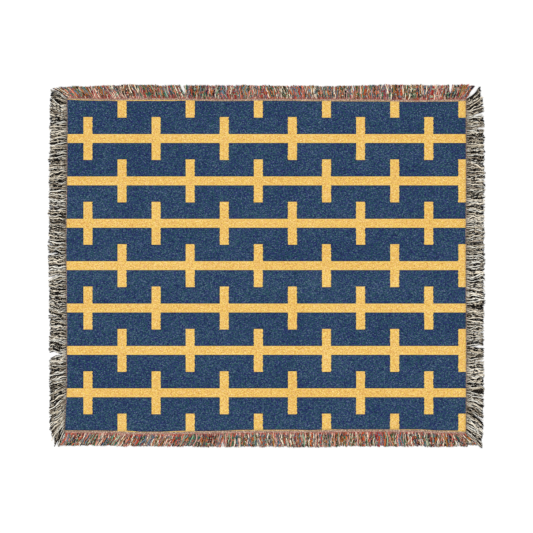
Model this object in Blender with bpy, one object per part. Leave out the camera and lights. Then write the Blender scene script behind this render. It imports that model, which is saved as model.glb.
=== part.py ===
"""A woven cotton throw blanket, laid flat, with a fringe along all four sides.

Units are metres, +Z is up. The origin is the centre of the cloth's underside, where it rests on the
floor. +X runs along the blanket's long side and +Y across it, towards the side that is the top of
the pattern.

The cloth is one flat panel. Each side has its own heading, a narrow woven strip just outside the
panel's edge, and the fringe is a comb of locks that grow out of that strip. A lock is a bundle of
loose yarn ends that lie together on the floor.
"""

import math
import random
from collections import namedtuple

import bmesh
import bpy
from mathutils import Vector

# Driving dimensions of the cloth
CLOTH_THICKNESS = 0.0020
SEAT_GAP = 0.0004  # between the panel and a heading, which touch on the real blanket

# Driving dimensions of the fringe
LOCK_HEIGHT_AT_ROOT = 0.0024
LOCK_HEIGHT_AT_MIDDLE = 0.0032
LOCK_HEIGHT_AT_TIP = 0.0018
GAP_AT_ROOT = 0.0016
GAP_AT_TIP = 0.0030
WIDEST_LOCK = 0.0170
NARROWEST_LOCK = 0.0030
TIP_TAPER = 0.62  # share of its width that a lock keeps at its very tip
LOCK_LEVELS = (0.34, 0.72, 1.0)  # where along its reach a lock bends
SPACING_JITTER = 0.0016
LEAN_JITTER = 3.5  # degrees
SWAY = 0.0016  # how far the line between two locks sways to each side
SWAY_WAVELENGTH = 0.060
REACH_JITTER = 0.0035

# The panel's corners as it lies, a few millimetres off a true rectangle
Corner = namedtuple("Corner", "x y")
BOTTOM_LEFT = Corner(-0.7035, -0.5756)
BOTTOM_RIGHT = Corner(0.6955, -0.5794)
TOP_RIGHT = Corner(0.6952, 0.5749)
TOP_LEFT = Corner(-0.6951, 0.5804)

# place is the share of the way along the side. bow is how far the cloth's edge stands out past the
# straight line between its corners, in metres.
Bow = namedtuple("Bow", "place bow")
# lean is the way the fringe is brushed, in degrees from straight out towards the side's far end.
# reach is how far the tips stand out from the heading, in metres.
Brushed = namedtuple("Brushed", "place lean reach")
# A side runs from its start corner to its end corner, left to right or bottom to top. heading is
# the width of its woven strip. past_start and past_end are how far that strip runs past the
# panel's corners, to cover the ends of its neighbours' strips.
Side = namedtuple(
    "Side", "name start end heading past_start past_end locks colour bows brushing"
)

TOP_HEADING = 0.0076
BOTTOM_HEADING = 0.0100
SIDE_HEADING = 0.0036

RED_GREEN_YARNS = ("multicolour_yarn", (0.25, 0.17, 0.13, 1.0))
BLACK_CREAM_YARNS = ("black_cream_yarn", (0.22, 0.20, 0.17, 1.0))

TOP = Side(
    "fringe_top",
    TOP_LEFT,
    TOP_RIGHT,
    heading=TOP_HEADING,
    past_start=0.0,
    past_end=0.0,
    locks=82,
    colour=RED_GREEN_YARNS,
    bows=(
        Bow(0.00, 0.0000),
        Bow(0.10, -0.0035),
        Bow(0.19, -0.0012),
        Bow(0.27, -0.0013),
        Bow(0.38, -0.0034),
        Bow(0.51, -0.0013),
        Bow(0.78, -0.0018),
        Bow(0.87, -0.0039),
        Bow(0.95, -0.0013),
        Bow(1.00, 0.0000),
    ),
    brushing=(
        Brushed(0.00, -54, 0.033),
        Brushed(0.03, -40, 0.040),
        Brushed(0.10, -24, 0.045),
        Brushed(0.17, -22, 0.048),
        Brushed(0.27, -16, 0.045),
        Brushed(0.34, 4, 0.048),
        Brushed(0.44, -8, 0.048),
        Brushed(0.55, -16, 0.046),
        Brushed(0.68, 0, 0.046),
        Brushed(0.86, 3, 0.053),
        Brushed(0.95, 6, 0.051),
        Brushed(0.98, 20, 0.052),
        Brushed(1.00, 36, 0.046),
    ),
)
BOTTOM = Side(
    "fringe_bottom",
    BOTTOM_LEFT,
    BOTTOM_RIGHT,
    heading=BOTTOM_HEADING,
    past_start=0.0,
    past_end=0.0,
    locks=82,
    colour=RED_GREEN_YARNS,
    bows=(
        Bow(0.00, 0.0000),
        Bow(0.09, 0.0003),
        Bow(0.19, 0.0047),
        Bow(0.26, 0.0037),
        Bow(0.35, 0.0012),
        Bow(0.45, -0.0022),
        Bow(0.61, -0.0031),
        Bow(0.70, -0.0064),
        Bow(0.87, -0.0067),
        Bow(0.95, -0.0019),
        Bow(1.00, 0.0000),
    ),
    brushing=(
        Brushed(0.00, -14, 0.044),
        Brushed(0.04, -26, 0.043),
        Brushed(0.12, -30, 0.041),
        Brushed(0.28, -22, 0.042),
        Brushed(0.40, -8, 0.048),
        Brushed(0.55, 2, 0.049),
        Brushed(0.70, 3, 0.050),
        Brushed(0.88, 4, 0.049),
        Brushed(0.95, 10, 0.047),
        Brushed(0.98, 26, 0.043),
        Brushed(1.00, 42, 0.036),
    ),
)
LEFT = Side(
    "fringe_left",
    BOTTOM_LEFT,
    TOP_LEFT,
    heading=SIDE_HEADING,
    past_start=SEAT_GAP + BOTTOM_HEADING,
    past_end=SEAT_GAP + TOP_HEADING,
    locks=68,
    colour=BLACK_CREAM_YARNS,
    bows=(
        Bow(0.00, 0.0000),
        Bow(0.04, -0.0017),
        Bow(0.12, -0.0060),
        Bow(0.30, -0.0052),
        Bow(0.44, -0.0029),
        Bow(0.55, -0.0002),
        Bow(0.73, -0.0015),
        Bow(0.88, -0.0017),
        Bow(1.00, 0.0000),
    ),
    brushing=(
        Brushed(0.00, -70, 0.019),
        Brushed(0.02, -57, 0.036),
        Brushed(0.05, -42, 0.053),
        Brushed(0.11, -30, 0.057),
        Brushed(0.18, -12, 0.060),
        Brushed(0.35, 6, 0.060),
        Brushed(0.48, -5, 0.062),
        Brushed(0.62, 4, 0.061),
        Brushed(0.78, -4, 0.062),
        Brushed(0.92, -2, 0.060),
        Brushed(0.98, 12, 0.059),
        Brushed(1.00, 29, 0.056),
    ),
)
RIGHT = Side(
    "fringe_right",
    BOTTOM_RIGHT,
    TOP_RIGHT,
    heading=SIDE_HEADING,
    past_start=SEAT_GAP + BOTTOM_HEADING,
    past_end=SEAT_GAP + TOP_HEADING,
    locks=68,
    colour=BLACK_CREAM_YARNS,
    bows=(
        Bow(0.00, 0.0000),
        Bow(0.25, 0.0007),
        Bow(0.55, -0.0006),
        Bow(0.80, 0.0007),
        Bow(1.00, 0.0000),
    ),
    brushing=(
        Brushed(0.00, -41, 0.055),
        Brushed(0.03, -36, 0.056),
        Brushed(0.08, -26, 0.060),
        Brushed(0.14, -4, 0.062),
        Brushed(0.30, 5, 0.060),
        Brushed(0.45, -5, 0.065),
        Brushed(0.62, 3, 0.064),
        Brushed(0.80, -6, 0.063),
        Brushed(0.93, 4, 0.063),
        Brushed(0.97, 13, 0.061),
        Brushed(1.00, 39, 0.049),
    ),
)


def clear_scene():
    for old in list(bpy.data.objects):
        bpy.data.objects.remove(old, do_unlink=True)


def fabric(name, colour, roughness):
    """A plain cloth finish in one colour."""
    material = bpy.data.materials.new(name)
    material.use_nodes = True
    shader = material.node_tree.nodes["Principled BSDF"]
    shader.inputs["Base Color"].default_value = colour
    shader.inputs["Roughness"].default_value = roughness
    shader.inputs["Metallic"].default_value = 0.0
    return material


def eased(rows, place, column):
    """A table's column at this place, easing from each row to the next."""
    for before, after in zip(rows, rows[1:]):
        if place <= after.place:
            share = (place - before.place) / (after.place - before.place)
            share = max(0.0, share)
            share = share * share * (3.0 - 2.0 * share)
            low = getattr(before, column)
            high = getattr(after, column)
            return low + (high - low) * share
    return getattr(rows[-1], column)


class Edge:
    """One side of the panel, with points given by the way along it and the way out from it."""

    def __init__(self, side):
        self.side = side
        self.start = Vector((side.start.x, side.start.y))
        run = Vector((side.end.x, side.end.y)) - self.start
        self.length = run.length
        self.along = run.normalized()
        across = Vector((-self.along.y, self.along.x))
        self.outward = across if across.dot(self.start) > 0.0 else -across
        self.chance = random.Random(side.name)
        partings = self.part_the_panel_side()
        self.turns = [0.0] + partings[2:-2:2] + [self.length]
        past_start = [-side.past_start] if side.past_start else []
        past_end = [self.length + side.past_end] if side.past_end else []
        self.roots = past_start + partings + past_end

    def part_the_panel_side(self):
        """Where the fringe is parted between the panel's corners, a little unevenly."""
        side = self.side
        count = side.locks - bool(side.past_start) - bool(side.past_end)
        inner = [
            self.length * number / count + self.chance.uniform(-1, 1) * SPACING_JITTER
            for number in range(1, count)
        ]
        return [0.0] + inner + [self.length]

    def bow(self, way):
        """How far the panel's edge stands out here. It runs straight from turn to turn."""
        for low, high in zip(self.turns, self.turns[1:]):
            if 0.0 <= way <= high:
                share = (way - low) / (high - low)
                before = eased(self.side.bows, low / self.length, "bow")
                after = eased(self.side.bows, high / self.length, "bow")
                return before + (after - before) * share
        return 0.0

    def point(self, way, out, height=0.0):
        """A point this way along the side and this far out from the panel's own edge."""
        flat = self.start + self.along * way + self.outward * (self.bow(way) + out)
        return Vector((flat.x, flat.y, height))

    def beyond(self, root, sideways, out, height):
        """A point reached from a root on the heading's outer edge, sideways and then out."""
        foot = self.point(root, SEAT_GAP + self.side.heading, height)
        flat = self.along * sideways + self.outward * out
        return foot + Vector((flat.x, flat.y, 0.0))


def panel_outline(edges):
    """The cloth's outline, counter-clockwise, with each side bowed as its table says."""
    outline = []
    for name in ("fringe_bottom", "fringe_right", "fringe_top", "fringe_left"):
        edge = edges[name]
        backwards = name in ("fringe_top", "fringe_left")
        ways = edge.turns[:0:-1] if backwards else edge.turns[:-1]
        outline += [edge.point(way, 0.0) for way in ways]
    return outline


def link_mesh(name, shape, material):
    """Makes an object of a finished bmesh and puts it in the scene."""
    mesh = bpy.data.meshes.new(name)
    bmesh.ops.recalc_face_normals(shape, faces=shape.faces)
    shape.to_mesh(mesh)
    shape.free()
    mesh.materials.append(material)
    made = bpy.data.objects.new(name, mesh)
    bpy.context.scene.collection.objects.link(made)
    return made


def make_panel(edges, material):
    """The woven cloth: its outline filled and raised to the cloth's thickness."""
    shape = bmesh.new()
    underside = shape.faces.new([shape.verts.new(point) for point in panel_outline(edges)])
    raised = bmesh.ops.extrude_face_region(shape, geom=[underside])
    upper = [part for part in raised["geom"] if isinstance(part, bmesh.types.BMVert)]
    bmesh.ops.translate(shape, verts=upper, vec=(0.0, 0.0, CLOTH_THICKNESS))
    return link_mesh("woven_panel", shape, material)


class Parting:
    """The line between two neighbouring locks, from the heading out to their tips."""

    def __init__(self, edge, root):
        chance = edge.chance
        looseness = 0.0 if root in (edge.roots[0], edge.roots[-1]) else 1.0
        lean = eased(edge.side.brushing, root / edge.length, "lean")
        lean += chance.uniform(-1, 1) * LEAN_JITTER * looseness
        self.root = root
        self.slope = math.tan(math.radians(lean))
        self.sway = chance.uniform(-1, 1) * SWAY * looseness
        self.phase = chance.uniform(0, math.tau)

    def sideways(self, out):
        """How far along the side the line has moved once it is this far out."""
        turn = math.tau * out / SWAY_WAVELENGTH
        return self.slope * out + self.sway * (math.sin(turn + self.phase) - math.sin(self.phase))


class Lock:
    """A bundle of yarn ends between two partings: where it is rooted and how it lies."""

    def __init__(self, edge, before, after):
        self.edge = edge
        self.before = before
        self.after = after
        place = (before.root + after.root) / 2 / edge.length
        shorter = edge.chance.uniform(0, 1) * REACH_JITTER
        self.reach = eased(edge.side.brushing, place, "reach") - shorter
        self.root_low = before.root + GAP_AT_ROOT / 2
        self.root_high = after.root - GAP_AT_ROOT / 2

    def span(self, level):
        """Both sides of the lock, measured along the side, at this share of its reach."""
        out = self.reach * level
        low = self.before.root + self.before.sideways(out)
        high = self.after.root + self.after.sideways(out)
        gap = GAP_AT_ROOT + (GAP_AT_TIP - GAP_AT_ROOT) * level
        width = min(max(high - low - gap, NARROWEST_LOCK), WIDEST_LOCK)
        if level == LOCK_LEVELS[-1]:
            width *= TIP_TAPER
        middle = (low + high) / 2
        return middle - width / 2, middle + width / 2

    def height(self, level):
        """How high the lock is heaped at this share of its reach."""
        if level == LOCK_LEVELS[-1]:
            return LOCK_HEIGHT_AT_TIP
        return LOCK_HEIGHT_AT_MIDDLE

    def point(self, way, level, height):
        """A point of the lock this way along the side, at this share of its reach."""
        root = (self.root_low + self.root_high) / 2
        return self.edge.beyond(root, way - root, self.reach * level, height)


def locks_of(edge):
    """The locks of one side, each between two neighbouring partings."""
    partings = [Parting(edge, root) for root in edge.roots]
    return [Lock(edge, before, after) for before, after in zip(partings, partings[1:])]


def heading_strip(shape, edge, locks):
    """The heading as a strip, left open where each lock grows out. Returns those openings."""
    ways = [edge.roots[0]]
    for lock in locks:
        ways += [lock.root_low, lock.root_high]
    ways.append(edge.roots[-1])
    inner = SEAT_GAP
    outer = SEAT_GAP + edge.side.heading
    section = ((inner, 0.0), (inner, CLOTH_THICKNESS), (outer, LOCK_HEIGHT_AT_ROOT), (outer, 0.0))
    rings = []
    for way in ways:
        rings.append([shape.verts.new(edge.point(way, out, height)) for out, height in section])
    openings = []
    for number, (here, there) in enumerate(zip(rings, rings[1:])):
        for corner in range(4):
            after = (corner + 1) % 4
            faces_out = corner == 2
            under_a_lock = number % 2 == 1
            if faces_out and under_a_lock:
                openings.append((here[3], here[2], there[2], there[3]))
            else:
                shape.faces.new((here[corner], here[after], there[after], there[corner]))
    shape.faces.new(rings[0])
    shape.faces.new(rings[-1])
    return openings


def grow_lock(shape, lock, opening):
    """Carries an opening in the heading outwards, bend by bend, into a lock with a closed tip."""
    here = opening
    for level in LOCK_LEVELS:
        low, high = lock.span(level)
        height = lock.height(level)
        section = ((low, 0.0), (low, height), (high, height), (high, 0.0))
        there = [shape.verts.new(lock.point(way, level, up)) for way, up in section]
        for corner in range(4):
            after = (corner + 1) % 4
            shape.faces.new((here[corner], here[after], there[after], there[corner]))
        here = there
    shape.faces.new(here)


def make_fringe(edge, material):
    """One side's heading with its comb of locks, as one closed body."""
    locks = locks_of(edge)
    shape = bmesh.new()
    for lock, opening in zip(locks, heading_strip(shape, edge, locks)):
        grow_lock(shape, lock, opening)
    return link_mesh(edge.side.name, shape, material)


def main():
    clear_scene()
    edges = {side.name: Edge(side) for side in (TOP, BOTTOM, LEFT, RIGHT)}
    make_panel(edges, fabric("blue_gold_cloth", (0.031, 0.063, 0.125, 1.0), 0.9))
    for edge in edges.values():
        name, colour = edge.side.colour
        material = bpy.data.materials.get(name) or fabric(name, colour, 0.9)
        make_fringe(edge, material)


main()
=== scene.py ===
import math
import random
from collections import namedtuple

import bpy
import numpy as np
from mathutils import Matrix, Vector, noise


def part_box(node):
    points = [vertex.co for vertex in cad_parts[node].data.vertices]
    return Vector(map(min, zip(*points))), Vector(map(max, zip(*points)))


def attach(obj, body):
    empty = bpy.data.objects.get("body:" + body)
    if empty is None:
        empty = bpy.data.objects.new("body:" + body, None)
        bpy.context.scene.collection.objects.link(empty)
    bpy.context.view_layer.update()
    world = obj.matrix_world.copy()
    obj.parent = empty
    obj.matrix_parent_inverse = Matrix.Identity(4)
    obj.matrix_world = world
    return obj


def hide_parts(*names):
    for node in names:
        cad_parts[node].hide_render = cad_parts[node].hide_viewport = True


bl_info = {
    "name": "Woven Throw Blanket",
    "version": (1, 0, 0),
    "blender": (4, 5, 0),
    "location": "View3D > Sidebar > Throw",
    "description": "Dresses the laid throw's solids in woven cloth, headings and a yarn fringe",
    "category": "Object",
}

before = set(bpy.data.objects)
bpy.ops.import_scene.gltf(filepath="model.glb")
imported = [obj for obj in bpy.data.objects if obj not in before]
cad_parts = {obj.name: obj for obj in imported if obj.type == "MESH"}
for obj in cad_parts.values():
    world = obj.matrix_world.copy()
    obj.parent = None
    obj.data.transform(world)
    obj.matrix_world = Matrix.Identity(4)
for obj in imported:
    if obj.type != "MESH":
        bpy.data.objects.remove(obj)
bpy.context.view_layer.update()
PANEL_LOW, PANEL_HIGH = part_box("woven_panel")

# The solids' own measures, in metres. The yarns follow the same partings as the solids' locks.
SEAT_GAP = 0.0004
SPACING_JITTER = 0.0016
LEAN_JITTER = 3.5
SWAY = 0.0016
SWAY_WAVELENGTH = 0.060
REACH_JITTER = 0.0035

Corner = namedtuple("Corner", "x y")
BOTTOM_LEFT = Corner(-0.7035, -0.5756)
BOTTOM_RIGHT = Corner(0.6955, -0.5794)
TOP_RIGHT = Corner(0.6952, 0.5749)
TOP_LEFT = Corner(-0.6951, 0.5804)

# place is the share of the way along the side. bow is how far the cloth's edge stands out past the
# straight line between its corners. lean is the way the fringe is brushed, in degrees from straight
# out towards the side's far end, and reach is how far its tips stand out from the heading.
# past_start and past_end are how far the heading and its fringe run on past the panel's corners.
Bow = namedtuple("Bow", "place bow")
Brushed = namedtuple("Brushed", "place lean reach")
Side = namedtuple("Side", "name start end heading past_start past_end locks bows brushing")

TOP_HEADING = 0.0076
BOTTOM_HEADING = 0.0100
SIDE_HEADING = 0.0036
PAST_BOTTOM = SEAT_GAP + BOTTOM_HEADING
PAST_TOP = SEAT_GAP + TOP_HEADING

TOP_BOWS = (
    Bow(0.00, 0.0000),
    Bow(0.10, -0.0035),
    Bow(0.19, -0.0012),
    Bow(0.27, -0.0013),
    Bow(0.38, -0.0034),
    Bow(0.51, -0.0013),
    Bow(0.78, -0.0018),
    Bow(0.87, -0.0039),
    Bow(0.95, -0.0013),
    Bow(1.00, 0.0000),
)
TOP_BRUSHING = (
    Brushed(0.00, -58, 0.033),
    Brushed(0.03, -40, 0.040),
    Brushed(0.10, -24, 0.045),
    Brushed(0.17, -22, 0.048),
    Brushed(0.27, -16, 0.045),
    Brushed(0.34, 4, 0.048),
    Brushed(0.44, -8, 0.048),
    Brushed(0.55, -16, 0.046),
    Brushed(0.68, 0, 0.046),
    Brushed(0.86, 3, 0.053),
    Brushed(0.95, 6, 0.051),
    Brushed(0.98, 20, 0.052),
    Brushed(1.00, 36, 0.046),
)
BOTTOM_BOWS = (
    Bow(0.00, 0.0000),
    Bow(0.09, 0.0003),
    Bow(0.19, 0.0047),
    Bow(0.26, 0.0037),
    Bow(0.35, 0.0012),
    Bow(0.45, -0.0022),
    Bow(0.61, -0.0031),
    Bow(0.70, -0.0064),
    Bow(0.87, -0.0067),
    Bow(0.95, -0.0019),
    Bow(1.00, 0.0000),
)
BOTTOM_BRUSHING = (
    Brushed(0.00, -22, 0.044),
    Brushed(0.04, -26, 0.043),
    Brushed(0.12, -30, 0.041),
    Brushed(0.28, -22, 0.042),
    Brushed(0.40, -8, 0.048),
    Brushed(0.55, 2, 0.049),
    Brushed(0.70, 3, 0.050),
    Brushed(0.88, 4, 0.049),
    Brushed(0.95, 10, 0.047),
    Brushed(0.98, 26, 0.043),
    Brushed(1.00, 46, 0.036),
)
LEFT_BOWS = (
    Bow(0.00, 0.0000),
    Bow(0.04, -0.0017),
    Bow(0.12, -0.0060),
    Bow(0.30, -0.0052),
    Bow(0.44, -0.0029),
    Bow(0.55, -0.0002),
    Bow(0.73, -0.0015),
    Bow(0.88, -0.0017),
    Bow(1.00, 0.0000),
)
LEFT_BRUSHING = (
    Brushed(0.00, -70, 0.019),
    Brushed(0.02, -57, 0.036),
    Brushed(0.05, -42, 0.053),
    Brushed(0.11, -30, 0.057),
    Brushed(0.18, -12, 0.060),
    Brushed(0.35, 6, 0.060),
    Brushed(0.48, -5, 0.062),
    Brushed(0.62, 4, 0.061),
    Brushed(0.78, -4, 0.062),
    Brushed(0.92, -2, 0.060),
    Brushed(0.98, 12, 0.059),
    Brushed(1.00, 29, 0.056),
)
RIGHT_BOWS = (
    Bow(0.00, 0.0000),
    Bow(0.25, 0.0007),
    Bow(0.55, -0.0006),
    Bow(0.80, 0.0007),
    Bow(1.00, 0.0000),
)
RIGHT_BRUSHING = (
    Brushed(0.00, -41, 0.055),
    Brushed(0.03, -36, 0.056),
    Brushed(0.08, -26, 0.060),
    Brushed(0.14, -4, 0.062),
    Brushed(0.30, 5, 0.060),
    Brushed(0.45, -5, 0.065),
    Brushed(0.62, 3, 0.064),
    Brushed(0.80, -6, 0.063),
    Brushed(0.93, 4, 0.063),
    Brushed(0.97, 13, 0.061),
    Brushed(1.00, 39, 0.049),
)

END_LOCKS = 82
SIDE_LOCKS = 68
TOP = Side(
    "fringe_top",
    TOP_LEFT,
    TOP_RIGHT,
    TOP_HEADING,
    past_start=0.0,
    past_end=0.0,
    locks=END_LOCKS,
    bows=TOP_BOWS,
    brushing=TOP_BRUSHING,
)
BOTTOM = Side(
    "fringe_bottom",
    BOTTOM_LEFT,
    BOTTOM_RIGHT,
    BOTTOM_HEADING,
    past_start=0.0,
    past_end=0.0,
    locks=END_LOCKS,
    bows=BOTTOM_BOWS,
    brushing=BOTTOM_BRUSHING,
)
LEFT = Side(
    "fringe_left",
    BOTTOM_LEFT,
    TOP_LEFT,
    SIDE_HEADING,
    past_start=PAST_BOTTOM,
    past_end=PAST_TOP,
    locks=SIDE_LOCKS,
    bows=LEFT_BOWS,
    brushing=LEFT_BRUSHING,
)
RIGHT = Side(
    "fringe_right",
    BOTTOM_RIGHT,
    TOP_RIGHT,
    SIDE_HEADING,
    past_start=PAST_BOTTOM,
    past_end=PAST_TOP,
    locks=SIDE_LOCKS,
    bows=RIGHT_BOWS,
    brushing=RIGHT_BRUSHING,
)
SIDES = (TOP, BOTTOM, LEFT, RIGHT)

# Places along each side where the yarns part towards their tips, so that the floor shows
# between them, and how far the yarns beside a notch lie from its middle at their tips
Notch = namedtuple("Notch", "place half")
NOTCHES = {
    "fringe_top": (
        Notch(0.297, 0.0055),
        Notch(0.403, 0.0040),
        Notch(0.640, 0.0045),
        Notch(0.719, 0.0050),
        Notch(0.958, 0.0060),
    ),
    "fringe_bottom": (Notch(0.398, 0.0060), Notch(0.970, 0.0065)),
    "fringe_left": (
        Notch(0.236, 0.0095),
        Notch(0.340, 0.0055),
        Notch(0.470, 0.0060),
        Notch(0.534, 0.0060),
    ),
    "fringe_right": (
        Notch(0.065, 0.0060),
        Notch(0.110, 0.0055),
        Notch(0.211, 0.0055),
        Notch(0.257, 0.0060),
        Notch(0.300, 0.0045),
        Notch(0.765, 0.0040),
        Notch(0.915, 0.0055),
        Notch(0.954, 0.0060),
    ),
}

# How wide a line of the last long bar shows along the top edge, and along the bottom one
Line = namedtuple("Line", "place width")
TOP_LINE = (
    Line(0.00, 0.0004),
    Line(0.04, 0.0014),
    Line(0.08, 0.0014),
    Line(0.10, 0.0006),
    Line(0.14, 0.0036),
    Line(0.26, 0.0034),
    Line(0.29, 0.0014),
    Line(0.34, 0.0005),
    Line(0.56, 0.0005),
    Line(0.60, 0.0012),
    Line(0.81, 0.0014),
    Line(0.83, 0.0005),
    Line(0.92, 0.0005),
    Line(0.95, 0.0014),
    Line(1.00, 0.0014),
)
BOTTOM_LINE = (
    Line(0.00, 0.0004),
    Line(0.12, 0.0004),
    Line(0.15, 0.0034),
    Line(0.19, 0.0004),
    Line(0.24, 0.0004),
    Line(0.30, 0.0030),
    Line(0.33, 0.0004),
    Line(0.41, 0.0004),
    Line(0.43, 0.0026),
    Line(0.57, 0.0032),
    Line(0.61, 0.0006),
    Line(0.66, 0.0030),
    Line(0.69, 0.0004),
    Line(0.81, 0.0004),
    Line(0.85, 0.0020),
    Line(0.90, 0.0020),
    Line(0.92, 0.0005),
    Line(0.98, 0.0024),
    Line(1.00, 0.0010),
)

# Names of the maps that a piece's materials read
CLOTH_WAY = "ClothWay"  # metres across and up the cloth, or along and across a heading
PICTURE_MAP = "OFBake"  # where each face lies on the piece's own picture
KINDS = 64  # kinds of yarn on one fringe's map
PICTURE_RIM = 0.002  # share of a picture left free at each side
PICTURE_SPAN = 0.996  # share that is taken up between them

FLOOR_GAP = 0.0003  # how far the cloth and the headings stay off the floor


# The settings that a user would change

# The standard curve from a colour as it looks to its linear value: straight up to its foot
CURVE_FOOT = 0.04045
CURVE_FOOT_SLOPE = 12.92
CURVE_OFFSET = 0.055
CURVE_POWER = 2.4


def seen(red, green, blue):
    """A colour given as it looks, 0 to 255 a channel, in the linear values that Blender mixes."""
    shares = [level / 255.0 for level in (red, green, blue)]
    return tuple(
        share / CURVE_FOOT_SLOPE
        if share <= CURVE_FOOT
        else ((share + CURVE_OFFSET) / (1.0 + CURVE_OFFSET)) ** CURVE_POWER
        for share in shares
    )


def metres(name, description, default):
    """A length that a user may set."""
    return bpy.props.FloatProperty(
        name=name,
        description=description,
        default=default,
        precision=4,
        subtype="DISTANCE",
        unit="LENGTH",
    )


def share_of(name, description, default):
    """A plain share or strength that a user may set."""
    return bpy.props.FloatProperty(
        name=name, description=description, default=default, min=0.0, soft_max=2.0
    )


def count_of(name, description, default):
    """A whole number that a user may set."""
    return bpy.props.IntProperty(name=name, description=description, default=default, min=1)


def dye(name, description, red, green, blue):
    """A colour that a user may set, given as it looks in plain daylight."""
    return bpy.props.FloatVectorProperty(
        name=name,
        description=description,
        subtype="COLOR",
        size=3,
        min=0.0,
        max=1.0,
        default=seen(red, green, blue),
    )


class ThrowPanelSettings(bpy.types.PropertyGroup):
    """The woven panel as it lies on the floor."""

    thickness: metres(
        "Thickness", "How thick the woven cloth is", PANEL_HIGH.z - PANEL_LOW.z - FLOOR_GAP
    )
    ripple: metres("Ripple", "How far the laid cloth lifts between its edges", 0.0014)
    flat_width: metres("Cut width", "Length of the cloth between its side headings", 1.395)
    flat_length: metres("Cut length", "Length of the cloth between its end headings", 1.155)
    columns: count_of("Columns", "Faces across the panel", 168)
    rows: count_of("Rows", "Faces up the panel", 138)


class ThrowWeaveSettings(bpy.types.PropertyGroup):
    """The weave, and the bars that it makes."""

    pick: metres("Pick", "Height of one row of the weave", 0.1479 / 87)
    float_length: metres("Float", "Length of one visible stitch of yarn", 0.0035)
    row_pitch: metres("Row pitch", "From one long bar to the next, up the cloth", 0.1479)
    bar_thickness: metres("Long bar", "Thickness of the long bars", 0.0306)
    bar_spacing: metres("Bar spacing", "From one crossbar to the next in its row", 0.2379)
    bar_width: metres("Crossbar", "Width of the crossbars", 0.0309)
    bar_length: metres("Crossbar length", "Length of the crossbars, up the cloth", 0.1510)
    first_bar: metres("First crossbar", "Where the middle row has a crossbar", -0.0285)
    relief: metres("Relief", "How deep the weave looks", 0.0004)


class ThrowClothDyes(bpy.types.PropertyGroup):
    """Colours of the yarns in the woven panel."""

    navy: dye("Navy", "Darkest stitch of the ground", 6, 12, 66)
    ink: dye("Ink", "Dark stitch of the ground", 17, 33, 77)
    denim: dye("Denim", "Middle stitch of the ground", 32, 56, 87)
    petrol: dye("Petrol", "Light stitch of the ground", 50, 81, 105)
    mist: dye("Mist", "Lightest stitch of the ground", 96, 119, 140)
    violet: dye("Violet", "Stray cool stitch in the ground", 33, 34, 112)
    pine: dye("Pine", "Stray green stitch in the ground", 22, 84, 80)
    ochre: dye("Ochre", "Darkest stitch of the bars", 205, 146, 60)
    gold: dye("Gold", "Middle stitch of the bars", 229, 182, 87)
    straw: dye("Straw", "Light stitch of the bars", 241, 202, 107)
    cream: dye("Cream", "Lightest stitch of the bars", 252, 224, 158)
    peach: dye("Peach", "Warm stitch among the bars", 236, 176, 112)
    lemon: dye("Lemon", "Bright stitch among the bars", 252, 216, 100)


class ThrowHeadingDyes(bpy.types.PropertyGroup):
    """Colours of the narrow woven headings between the cloth and the fringe."""

    tan: dye("Tan", "Light line beside the cloth", 184, 154, 126)
    fawn: dye("Fawn", "Middle of the end headings", 140, 126, 106)
    rose: dye("Rose", "Outer half of the end headings", 180, 139, 124)
    brick: dye("Brick", "Outer edge of the end headings", 178, 112, 102)
    taupe: dye("Taupe", "Middle of the side headings", 106, 96, 89)
    moss: dye("Moss", "Stray yarns in the headings", 110, 120, 96)
    linen: dye("Linen", "Stray light yarns in the headings", 226, 196, 176)


class ThrowEndYarnDyes(bpy.types.PropertyGroup):
    """Colours of the yarns along the top and bottom."""

    crimson: dye("Crimson", "Fringe yarn", 152, 36, 38)
    brick: dye("Brick", "Fringe yarn", 194, 70, 54)
    salmon: dye("Salmon", "Fringe yarn", 232, 146, 124)
    orange: dye("Orange", "Fringe yarn", 218, 110, 46)
    ochre: dye("Ochre", "Fringe yarn", 176, 124, 62)
    cream: dye("Cream", "Fringe yarn", 250, 234, 208)
    blush: dye("Blush", "Fringe yarn", 220, 176, 158)
    mint: dye("Mint", "Fringe yarn", 166, 198, 164)
    emerald: dye("Emerald", "Fringe yarn", 48, 118, 84)
    teal: dye("Teal", "Fringe yarn", 38, 92, 98)
    steel: dye("Steel", "Fringe yarn", 100, 138, 154)
    navy: dye("Navy", "Fringe yarn", 30, 38, 68)
    olive: dye("Olive", "Fringe yarn", 66, 68, 36)
    umber: dye("Umber", "Fringe yarn", 62, 34, 28)
    soot: dye("Soot", "Fringe yarn", 16, 20, 18)
    mauve: dye("Mauve", "Fringe yarn", 156, 116, 132)


class ThrowSideYarnDyes(bpy.types.PropertyGroup):
    """Colours of the yarns along the left and right."""

    soot: dye("Soot", "Fringe yarn", 9, 6, 4)
    coal: dye("Coal", "Fringe yarn", 28, 22, 17)
    bark: dye("Bark", "Fringe yarn", 74, 63, 53)
    stone: dye("Stone", "Fringe yarn", 138, 125, 109)
    pebble: dye("Pebble", "Fringe yarn", 179, 165, 145)
    linen: dye("Linen", "Fringe yarn", 216, 204, 181)
    cream: dye("Cream", "Fringe yarn", 246, 236, 216)
    chalk: dye("Chalk", "Fringe yarn", 255, 252, 240)


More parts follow.
